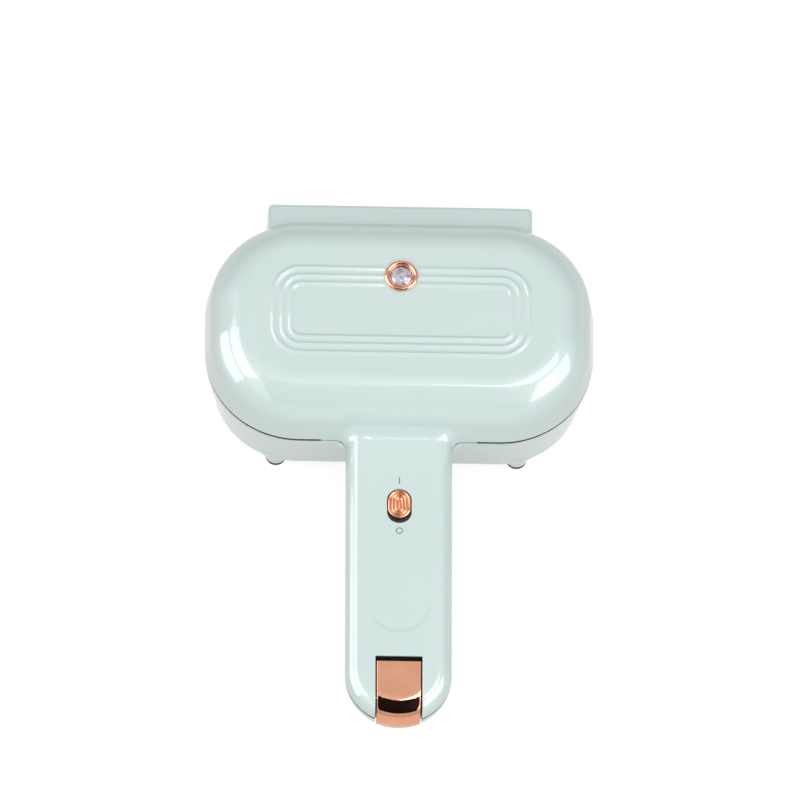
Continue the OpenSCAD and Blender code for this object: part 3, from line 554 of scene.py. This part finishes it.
def loft(rings, closed_ends=(False, False)):
    """Joins rings of equal length into a skin; closed_ends caps the first and the last ring"""
    n = len(rings[0])
    points = np.concatenate(rings)
    faces = []
    for i in range(len(rings) - 1):
        for k in range(n):
            a, b = i * n + k, i * n + (k + 1) % n
            faces.append((a, b, b + n, a + n))
    if closed_ends[0]:
        faces.append(tuple(range(n))[::-1])
    if closed_ends[1]:
        faces.append(tuple(range(len(points) - n, len(points))))
    return points, faces


def lathe(profile, centre, steps=96):
    """Turns a closed profile of (radius, height) round a vertical axis"""
    turn = np.linspace(0, 2 * math.pi, steps, endpoint=False)
    rings = []
    for a in turn:
        across, along_y = math.cos(a), math.sin(a)
        rings.append(np.array([(centre[0] + r * across, centre[1] + r * along_y, z) for r, z in profile]))
    points, faces = loft(rings)
    n, m = len(profile), len(rings)
    for k in range(n):
        a, b = (m - 1) * n + k, (m - 1) * n + (k + 1) % n
        faces.append((a, b, (k + 1) % n, k))
    return points, faces


# ---------------------------------------------------------------- materials


def new_material(name, **sockets):
    """New material, its node tree and its shader, with constant values set on the shader"""
    material = bpy.data.materials.new(name)
    material.use_nodes = True
    shader = material.node_tree.nodes["Principled BSDF"]
    for socket, value in sockets.items():
        shader.inputs[socket.replace("_", " ")].default_value = value
    return material, material.node_tree, shader


def noise(tree, scale, detail=3.0, roughness=0.5):
    """Noise texture in object coordinates"""
    coordinates = tree.nodes.new("ShaderNodeTexCoord")
    texture = tree.nodes.new("ShaderNodeTexNoise")
    texture.inputs["Scale"].default_value = scale
    texture.inputs["Detail"].default_value = detail
    texture.inputs["Roughness"].default_value = roughness
    tree.links.new(coordinates.outputs["Object"], texture.inputs["Vector"])
    return texture.outputs["Fac"]


def vary_colour(tree, shader, factor, first, second, low=0.35, high=0.65):
    """Drives the base colour by a texture, between two colours"""
    ramp = tree.nodes.new("ShaderNodeValToRGB")
    ramp.color_ramp.elements[0].position = low
    ramp.color_ramp.elements[0].color = (*first, 1)
    ramp.color_ramp.elements[1].position = high
    ramp.color_ramp.elements[1].color = (*second, 1)
    tree.links.new(factor, ramp.inputs["Fac"])
    tree.links.new(ramp.outputs["Color"], shader.inputs["Base Color"])


def vary_roughness(tree, shader, factor, low, high):
    """Drives the roughness by a texture, between two values"""
    spread = tree.nodes.new("ShaderNodeMapRange")
    spread.inputs["To Min"].default_value = low
    spread.inputs["To Max"].default_value = high
    tree.links.new(factor, spread.inputs["Value"])
    tree.links.new(spread.outputs["Result"], shader.inputs["Roughness"])


def bump(tree, shader, factor, strength, distance, coat=False):
    """Fine surface unevenness from a texture"""
    node = tree.nodes.new("ShaderNodeBump")
    node.inputs["Strength"].default_value = strength
    node.inputs["Distance"].default_value = distance
    tree.links.new(factor, node.inputs["Height"])
    tree.links.new(node.outputs["Normal"], shader.inputs["Normal"])
    if coat:
        tree.links.new(node.outputs["Normal"], shader.inputs["Coat Normal"])


def mint_gloss():
    """Glossy moulded shell: clear surface with a trace of orange peel and of uneven colour"""
    material, tree, shader = new_material("mint_gloss", Coat_Weight=1.0, Coat_Roughness=0.03, Coat_IOR=1.5)
    vary_colour(tree, shader, noise(tree, 14), (0.600, 0.722, 0.700), (0.614, 0.735, 0.713))
    vary_roughness(tree, shader, noise(tree, 60), 0.30, 0.38)
    bump(tree, shader, noise(tree, 160, 1.0), 0.05, 0.0001, coat=True)
    return material


def mint_satin():
    """Inner mint parts, with less gloss than the shells"""
    material, tree, shader = new_material("mint_satin")
    vary_colour(tree, shader, noise(tree, 40), (0.50, 0.645, 0.61), (0.53, 0.675, 0.64))
    vary_roughness(tree, shader, noise(tree, 300), 0.42, 0.55)
    bump(tree, shader, noise(tree, 2500), 0.25, 0.00005)
    return material


def rose_gold():
    """Polished plating with faint polishing waviness"""
    material, tree, shader = new_material("rose_gold", Metallic=1.0)
    vary_colour(tree, shader, noise(tree, 90), (0.817, 0.395, 0.247), (0.855, 0.437, 0.285))
    vary_roughness(tree, shader, noise(tree, 700), 0.05, 0.11)
    bump(tree, shader, noise(tree, 220, 1.0), 0.06, 0.0001)
    return material


def nonstick():
    """Sprayed non-stick coating with light flecks"""
    material, tree, shader = new_material("nonstick", Specular_IOR_Level=0.6)
    coating, fleck = (0.020, 0.020, 0.022), (0.085, 0.083, 0.085)
    vary_colour(tree, shader, noise(tree, 1800, 2.0), coating, fleck, 0.55, 0.72)
    vary_roughness(tree, shader, noise(tree, 500), 0.32, 0.46)
    bump(tree, shader, noise(tree, 1500), 0.25, 0.0001)
    return material


def metal(name, first, second, rough_low, rough_high, stretch=(1, 1, 1)):
    """Metal with fine grain that can be stretched along one direction"""
    material, tree, shader = new_material(name, Metallic=1.0)
    coordinates = tree.nodes.new("ShaderNodeTexCoord")
    mapping = tree.nodes.new("ShaderNodeMapping")
    mapping.inputs["Scale"].default_value = stretch
    texture = tree.nodes.new("ShaderNodeTexNoise")
    texture.inputs["Scale"].default_value = 400
    texture.inputs["Detail"].default_value = 4
    tree.links.new(coordinates.outputs["Object"], mapping.inputs["Vector"])
    tree.links.new(mapping.outputs["Vector"], texture.inputs["Vector"])
    vary_colour(tree, shader, texture.outputs["Fac"], first, second)
    vary_roughness(tree, shader, texture.outputs["Fac"], rough_low, rough_high)
    bump(tree, shader, texture.outputs["Fac"], 0.15, 0.00005)
    return material


def matte(name, first, second, rough_low, rough_high, scale=900, strength=0.3):
    """Dull material with slight unevenness of colour and surface"""
    material, tree, shader = new_material(name)
    vary_colour(tree, shader, noise(tree, scale / 10), first, second)
    vary_roughness(tree, shader, noise(tree, scale / 3), rough_low, rough_high)
    bump(tree, shader, noise(tree, scale), strength, 0.00008)
    return material


def crystal():
    """Clear faceted plastic of the indicator"""
    material, tree, shader = new_material(
        "crystal", Transmission_Weight=0.35, IOR=1.9, Coat_Weight=1.0, Coat_Roughness=0.02
    )
    vary_colour(tree, shader, noise(tree, 380, 1.0), (0.42, 0.38, 0.55), (0.86, 0.84, 0.95))
    vary_roughness(tree, shader, noise(tree, 300), 0.02, 0.06)
    return material


def lamp_glass():
    """Glass of the lamp under the indicator"""
    material, tree, shader = new_material("lamp_glass", Transmission_Weight=0.8)
    vary_colour(tree, shader, noise(tree, 200), (1.0, 0.55, 0.25), (1.0, 0.65, 0.35))
    vary_roughness(tree, shader, noise(tree, 200), 0.05, 0.12)
    return material


MATERIALS = {
    "mint_gloss": mint_gloss(),
    "mint_satin": mint_satin(),
    "rose_gold": rose_gold(),
    "nonstick": nonstick(),
    "crystal": crystal(),
    "lamp_glass": lamp_glass(),
    "sheet_metal": metal("sheet_metal", (0.66, 0.67, 0.69), (0.74, 0.75, 0.77), 0.30, 0.42),
    "steel": metal("steel", (0.60, 0.60, 0.62), (0.70, 0.70, 0.72), 0.22, 0.36, (8, 1, 1)),
    "rubber": matte("rubber", (0.018, 0.018, 0.018), (0.03, 0.03, 0.03), 0.6, 0.75),
    "wire": matte("wire", (0.42, 0.10, 0.05), (0.50, 0.14, 0.08), 0.45, 0.55),
    "black_plastic": matte("black_plastic", (0.012, 0.012, 0.013), (0.022, 0.022, 0.023), 0.4, 0.5),
}
INK = matte("grey_ink", (0.16, 0.19, 0.19), (0.19, 0.22, 0.22), 0.4, 0.5, 600, 0.1)
SLOT_OF = {part["node"]: part["material_slot"] for part in frame["record"]["subparts"]}

# ---------------------------------------------------------------- the moulded shells

STEP = 1.35
LID_GRID = (
    both_sides(
        ticks(0.6, HALF_W + 2, STEP, (13, 15.5, 0.4), (6.3, 8, 0.4), (46.4, 47.6, 0.3), (76.5, 81, 0.6))
    ),
    ticks(
        LID_LOW.y - 1.3, REAR_Y + 1.5, STEP,
        (SWITCH_Y - 12.5, SWITCH_Y + 12.5, 0.6), (NOTCH_Y - 1, NOTCH_Y + 1.5, 0.4), (-70.2, -67.6, 0.5),
        (HINGE_Y - 1, REAR_Y + 1, 0.7),
    ),
    ticks(-0.75, LID_H + 1.2, STEP, (-1, 2.2, 0.28), (7.5, 13, 0.7), (16, 21, 0.7), (35.5, 39, 0.6)),
)
make_field("lid_shell", lid, LID_GRID, 0.4, "mint_gloss", "lid", ["upper_housing"])

BASE_GRID = (
    both_sides(ticks(0.6, HALF_W + 2, STEP, (13, 15.5, 0.4), (30.5, 40, 0.9), (63, 82, 1.1))),
    ticks(
        LID_LOW.y - 1.3, BACK_Y + 1.5, STEP,
        (-62, -44, 1.1), (44, 62, 1.1), (LOWER_NOTCH_Y - 4, LOWER_NOTCH_Y + 2, 0.5),
    ),
    ticks(FOOT_HIGH.z - 0.9, 0.5, STEP, (FOOT_HIGH.z - 1, -44, 0.8), (-2, 0.5, 0.28)),
)
make_field("base_shell", base, BASE_GRID, 0.35, "mint_gloss", "root", ["lower_housing"])

SHADE_STRIP_GRID = (
    both_sides(ticks(0.35, HALF_W + 1, 0.7)),
    ticks(LATCH_LOW.y - 1, BACK_Y + 1, 0.7),
    ticks(-2.2, 0.6, 0.35),
)
# Dark rubber strip along the seam: painted shade of the gap between lid and base
make_field("seam_shade_strip", shade_strip, SHADE_STRIP_GRID, 0.3, "rubber", "root")

STAND_GRID = (
    both_sides(ticks(0.7, BAR_HALF + 1, STEP, (47, 63, 0.8), (76.5, 81, 0.6))),
    ticks(BACK_Y - 13.2, REAR_Y + 1, 1.2, (REAR_Y - 3.5, REAR_Y + 1, 0.6)),
    ticks(
        STAND_LOW.z - 0.8, STAND_HIGH.z + 1, STEP,
        (STAND_LOW.z - 1, STAND_LOW.z + 4, 0.6), (-33, -23, 0.8), (-6, 0, 0.5),
    ),
)
make_field("stand_shell", stand, STAND_GRID, 0.4, "mint_gloss", "root", ["rear_stand"])

PLATE_XY = (
    both_sides(ticks(0.7, PLATE_HIGH.x + 1.5, STEP, (31.5, 39, 0.8))),
    both_sides(ticks(0.7, PLATE_HIGH.y + 1.5, STEP, (46, 54, 0.8))),
)
LOWER_Z = ticks(-BOSS_DROP - 1, 0.6, STEP, (-4, 0.6, 0.35))
make_field("lower_baking_plate", lower_plate, (*PLATE_XY, LOWER_Z), 0.35, "nonstick", "root", ["lower_plate"])
UPPER_Z = -LOWER_Z[::-1]
make_field("upper_baking_plate", upper_plate, (*PLATE_XY, UPPER_Z), 0.35, "nonstick", "lid", ["upper_plate"])

LATCH_GRID = (
    both_sides(ticks(0.4, LATCH_HALF + 1, 0.8, (12.4, 14, 0.3))),
    ticks(LATCH_LOW.y - 1, LATCH_HIGH.y + 0.8, 0.6, (LATCH_HIGH.y - 1, LATCH_HIGH.y + 1, 0.3)),
    ticks(LATCH_LOW.z - 1, LATCH_TOP + 0.8, 0.6, (LATCH_LOW.z - 1, LATCH_LOW.z + 1, 0.35)),
)
make_field("latch_lever_plated", latch, LATCH_GRID, 0.6, "rose_gold", "latch", ["latch_lever"])

# ---------------------------------------------------------------- trim

RIPPLES = {"ripple_outer": 16.8, "ripple_middle": 11.4, "ripple_inner": 6.3}
RIPPLE_HALF = 2.25


def ripple(name, r):
    """Low round ridge with tangent feet on the flat top of the lid, stopping short of the indicator"""
    outline, outward = rounded_rectangle(r)
    stop = 12.2
    start = [np.array((-stop, CORNER_Y + r)), np.array((stop, CORNER_Y + r))]
    path = np.concatenate([[start[0]], outline[15:], outline[:15], [start[1]]])
    out = np.concatenate([[outward[15]], outward[15:], outward[:15], [outward[14]]])
    if CORNER_Y + r < INDICATOR_Y - stop:
        path, out = outline, outward
    across = np.linspace(-1, 1, 15)
    height = RIPPLE_H * (0.5 + 0.5 * np.cos(math.pi * across))
    rings = []
    ends = 2.5
    for k, (p, o) in enumerate(zip(path, out)):
        rings.append(np.column_stack([p + np.outer(across * RIPPLE_HALF, o), LID_H - 0.015 + height]))
    if len(path) != len(outline):
        for index, direction in ((0, 1), (-1, -1)):
            low = rings[index].copy()
            low[:, 0] += direction * ends
            low[:, 2] = LID_H - 0.015
            if index == 0:
                rings.insert(0, low)
            else:
                rings.append(low)
    n = len(across)
    points = np.concatenate(rings)
    count = len(rings)
    closed = len(path) == len(outline)
    faces = []
    for i in range(count if closed else count - 1):
        for k in range(n - 1):
            a, b = i * n + k, ((i + 1) % count) * n + k
            faces.append((a, a + 1, b + 1, b))
    return make(name, points, faces, MATERIALS["mint_gloss"], "lid")


for ripple_name, ripple_r in RIPPLES.items():
    ripple(ripple_name, ripple_r)


def bezel():
    """Ring with a thin inner bead, a groove and a round outer bead"""
    top = LID_H
    bore_r, groove_r, outer_r, skirt_r = 6.6, 7.4, 9.9, 7.5
    skirt_z = top - 2.6
    inner_r, inner_mid, inner_z = 0.35, 6.95, top + 0.9
    bead_mid, bead_w, bead_h, bead_z = 8.75, 1.25, 1.35, top + 0.75
    profile = [(bore_r, skirt_z), (bore_r, inner_z)]
    for a in np.linspace(0.4, math.pi, 6):
        profile.append((inner_mid - inner_r * math.cos(a), inner_z + inner_r * math.sin(a)))
    profile.append((groove_r, bead_z))
    for a in np.linspace(0.25, math.pi, 14):
        profile.append((bead_mid - bead_w * math.cos(a), bead_z + bead_h * math.sin(a)))
    profile += [(outer_r, top + 0.02), (skirt_r, top - 0.02), (skirt_r, skirt_z)]
    points, faces = lathe(profile[::-1], (0, INDICATOR_Y))
    plating = MATERIALS["rose_gold"]
    return make("indicator_ring", points, faces, plating, "lid", ["indicator_bezel"])


def jewel():
    """Brilliant-cut lens: octagonal table, kite facets and a sixteen-sided girdle"""
    top = LID_H
    table_r, facet_r, girdle_r = 2.5, 4.4, 6.35
    rings = (
        (8, table_r, 1.95, 0.0),
        (8, facet_r, 1.45, 0.5),
        (16, girdle_r, 0.35, 0.25),
        (16, girdle_r, -1.4, 0.25),
        (8, table_r, -2.3, 0.0),
    )
    mesh = bmesh.new()
    for count, r, z, shift in rings:
        for k in range(count):
            a = 2 * math.pi * (k + shift) / count
            place = Vector((r * math.cos(a), INDICATOR_Y + r * math.sin(a), top + z))
            mesh.verts.new(place)
    bmesh.ops.convex_hull(mesh, input=mesh.verts)
    points = [tuple(v.co) for v in mesh.verts]
    mesh.verts.index_update()
    faces = [[v.index for v in f.verts] for f in mesh.faces]
    mesh.free()
    glass = MATERIALS["crystal"]
    return make("indicator_lens", points, faces, glass, "lid", ["indicator_jewel"], smooth=False)


def slider():
    """Sliding button: a round-ended block with oval grip ridges and grooves between them"""
    half_w = SLIDER_HIGH.x
    length = SLIDER_HIGH.y - SLIDER_LOW.y
    middle = (SLIDER_HIGH.y + SLIDER_LOW.y) / 2
    top = SLIDER_HIGH.z
    floor = WELL_LOW.z + 1.4
    deep = 0.8
    pitch = 2.05
    flat_w = 0.8
    turns = 96
    insets = [(0.35, floor), (0.0, floor + 0.3), (0.0, top - 0.75), (0.12, top - 0.35), (0.3, top - 0.08)]
    for s in np.arange(0.45, half_w - 0.1, 0.13):
        wave = 0.5 - 0.5 * math.cos(2 * math.pi * (s - flat_w) / pitch)
        insets.append((s, top - deep * wave**1.5))
    straight = length / 2 - half_w
    rings = []
    for s, z in insets:
        ring = []
        for k in range(turns):
            a = 2 * math.pi * (k + 0.5) / turns
            shift = math.copysign(straight, math.sin(a))
            ring.append(((half_w - s) * math.cos(a), middle + (half_w - s) * math.sin(a) + shift, z))
        rings.append(np.array(ring))
    points, faces = loft(rings, (True, True))
    plating = MATERIALS["rose_gold"]
    return make("switch_slider", points, faces, plating, "slider", ["power_slider"])


def notch_shade_liner():
    """Thin black sheet on the notch's rear and side walls: painted shade of the dark hollow behind the notch
    """
    clear, thick, past_lever = 0.02, 0.3, 2.5
    out, back = NOTCH_HALF - clear, NOTCH_Y - clear
    low, high, high_at_tip = HALF_GAP + 0.2, HANDLE_UP - 0.9, HANDLE_UP - 9
    front = TIP_Y - math.sqrt(HANDLE_R**2 - out**2) + past_lever
    outline = [
        (-out, front), (-out, back), (out, back), (out, front),
        (out - thick, front), (out - thick, back - thick), (thick - out, back - thick), (thick - out, front),
    ]
    rings = []
    for z in (low, high):
        rings.append(np.array([(x, y, z if y > TIP_Y else min(z, high_at_tip)) for x, y in outline]))
    n = len(outline)
    faces = [(k, (k + 1) % n, (k + 1) % n + n, k + n) for k in range(n)]
    for a, b in ((0, 7), (1, 6), (2, 5)):
        c, d = (a + 1) % n, (b - 1) % n
        faces += [(a, b, d, c), (a + n, c + n, d + n, b + n)]
    points = np.concatenate(rings)
    # Black plastic sheet that paints the shade of the hollow behind the notch
    plastic = MATERIALS["black_plastic"]
    return make("notch_shade_lining", points, faces, plastic, "lid", smooth=False)


# Painted shade: black sheet inside the latch notch
notch_shade_liner()
bezel()
jewel()
slider()


def mark_bar(y):
    """Printed bar above the switch, the usual sign for on"""
    half, tall, top = 0.35, 2.2, HANDLE_UP - PANEL_DIP
    sunk, proud = -0.02, 0.03
    outline = [(x, y + s) for x, s in ((half, -tall), (half, tall), (-half, tall), (-half, -tall))]
    rings = [np.array([(px, py, top + h) for px, py in outline]) for h in (sunk, proud)]
    points, faces = loft(rings, (True, True))
    return make("mark_on", points, faces, INK, "lid", smooth=False)


def mark_ring(y):
    """Printed ring below the switch, the usual sign for off"""
    inner, outer = 1.55, 2.15
    low, high = HANDLE_UP - PANEL_DIP - 0.02, HANDLE_UP - PANEL_DIP + 0.03
    profile = [(inner, low), (outer, low), (outer, high), (inner, high)]
    points, faces = lathe(profile, (0, y), 48)
    return make("mark_off", points, faces, INK, "lid", smooth=False)


MARK_GAP = 16.6
mark_bar(SWITCH_Y + MARK_GAP)
mark_ring(SWITCH_Y - MARK_GAP)

# ---------------------------------------------------------------- CAD nodes that keep their shape

for name, node in nodes.items():
    if node.hide_render:
        continue
    node.data.materials.clear()
    node.data.materials.append(MATERIALS[SLOT_OF[name]])

# ---------------------------------------------------------------- floor, light and camera


def floor_material(name, grey, glow):
    """Pale floor that glows a little, so that it stays white around the object"""
    material, _, shader = new_material(name, Roughness=0.9, Specular_IOR_Level=0.0)
    shader.inputs["Base Color"].default_value = (grey, grey, grey, 1)
    shader.inputs["Emission Color"].default_value = (1, 1, 1, 1)
    shader.inputs["Emission Strength"].default_value = glow
    return material


def square(name, corners, material):
    """Flat four-sided piece of the studio"""
    mesh = bpy.data.meshes.new(name)
    mesh.from_pydata(corners, [], [(0, 1, 2, 3)])
    mesh.materials.append(material)
    obj = bpy.data.objects.new(name, mesh)
    bpy.context.scene.collection.objects.link(obj)
    return obj


def floor(name, height, grey, glow, seen_by):
    """Large square that is seen only by the camera, by diffuse bounces or by glossy ones"""
    half = 6.0
    corners = [(-half, -half, height), (half, -half, height), (half, half, height), (-half, half, height)]
    obj = square(name, corners, floor_material(name, grey, glow))
    obj.visible_camera = seen_by == "camera"
    obj.visible_diffuse = seen_by == "diffuse"
    obj.visible_glossy = seen_by == "glossy"


def soft_box(name, direction, angles, radiance, long_axis=(0, 1, 0), distance=2.0, glossy_only=False):
    """Rectangular light facing the body: its direction, its width and length as angles, and its brightness"""
    light = bpy.data.lights.new(name, "AREA")
    light.shape = "RECTANGLE"
    light.size, light.size_y = (2 * distance * math.tan(math.radians(a) / 2) for a in angles)
    light.energy = radiance * math.pi * light.size * light.size_y
    obj = bpy.data.objects.new(name, light)
    bpy.context.scene.collection.objects.link(obj)
    away = Vector(direction).normalized()
    across = Vector(long_axis).cross(away).normalized()
    obj.matrix_world = Matrix((across, away.cross(across), away)).transposed().to_4x4()
    obj.location = ORIGIN + away * distance
    obj.visible_camera = False
    obj.visible_diffuse = not glossy_only
    return obj


def dark_card(direction, width, height, distance=1.5):
    """Black studio card in front, which only glossy pieces reflect"""
    away = Vector(direction).normalized()
    across = Vector((1, 0, 0)) * width / 2
    up = away.cross(Vector((1, 0, 0))).normalized() * height / 2
    middle = ORIGIN + away * distance
    corners = [middle - across - up, middle + across - up, middle + across + up, middle - across + up]
    material, _, shader = new_material("dark_card", Roughness=1.0, Specular_IOR_Level=0.0)
    shader.inputs["Base Color"].default_value = (0.01, 0.01, 0.01, 1)
    obj = square("dark_card", corners, material)
    obj.visible_camera = False
    obj.visible_diffuse = False
    obj.visible_shadow = False


def sky():
    """White surroundings, bright above and in front, dim behind"""
    world = bpy.data.worlds.new("studio")
    world.use_nodes = True
    tree = world.node_tree
    background = tree.nodes["Background"]
    coordinates = tree.nodes.new("ShaderNodeTexCoord")
    along_light = tree.nodes.new("ShaderNodeVectorMath")
    along_light.operation = "DOT_PRODUCT"
    along_light.inputs[1].default_value = (0, -0.35, 0.94)
    ramp = tree.nodes.new("ShaderNodeValToRGB")
    low, high = ramp.color_ramp.elements
    middle = ramp.color_ramp.elements.new(0.35)
    for element, position, grey in ((low, 0.0, 0.40), (middle, 0.35, 0.52), (high, 0.94, 0.98)):
        element.position = position
        element.color = (grey, grey, grey, 1)
    tree.links.new(coordinates.outputs["Generated"], along_light.inputs[0])
    tree.links.new(along_light.outputs["Value"], ramp.inputs["Fac"])
    tree.links.new(ramp.outputs["Color"], background.inputs["Color"])
    bpy.context.scene.world = world


def lights():
    """Sky, four reflected panels, a black card and one soft light in front"""
    sky()
    soft_box("left_panel_low", (-0.97, 0.0, 0.20), (30, 46), 4.2, glossy_only=True)
    soft_box("left_panel_high", (-0.73, 0.05, 0.68), (24, 44), 4.2, glossy_only=True)
    soft_box("right_panel_low", (0.70, -0.36, 0.60), (34, 60), 4.0, (0.66, 0.74, -0.2), glossy_only=True)
    soft_box("right_panel_high", (0.36, -0.03, 0.93), (16, 38), 4.0, (0.44, 0.35, -0.17), glossy_only=True)
    dark_card((0, -0.66, 0.75), 1.9, 1.8)
    soft_box("front_box", (0, -0.62, 0.78), (100, 62), 0.72, (0, 0.78, 0.62))


def camera():
    """Camera above the front, far off, leaning two degrees sideways over the left of the object"""
    distance = 14.0
    view = 0.4808
    aim = Vector((0.0006, 0.04695, 0.054))
    right = Vector((1, 0.002, 0.034)).normalized()
    back = Vector((-0.030, -0.438, 0.899))
    back = (back - right * back.dot(right)).normalized()
    data = bpy.data.cameras.new("camera")
    data.sensor_width = 36
    data.lens = data.sensor_width / view * distance
    obj = bpy.data.objects.new("camera", data)
    bpy.context.scene.collection.objects.link(obj)
    obj.matrix_world = Matrix((right, back.cross(right), back)).transposed().to_4x4()
    obj.location = aim + back * distance
    bpy.context.scene.camera = obj


floor("white_floor", 0.0, 0.30, 0.80, "camera")
floor("diffuse_floor", -0.001, 0.30, 0.17, "diffuse")
floor("glossy_floor", -0.002, 0.20, 0.85, "glossy")
lights()
camera()
bpy.context.scene.view_settings.view_transform = "Standard"
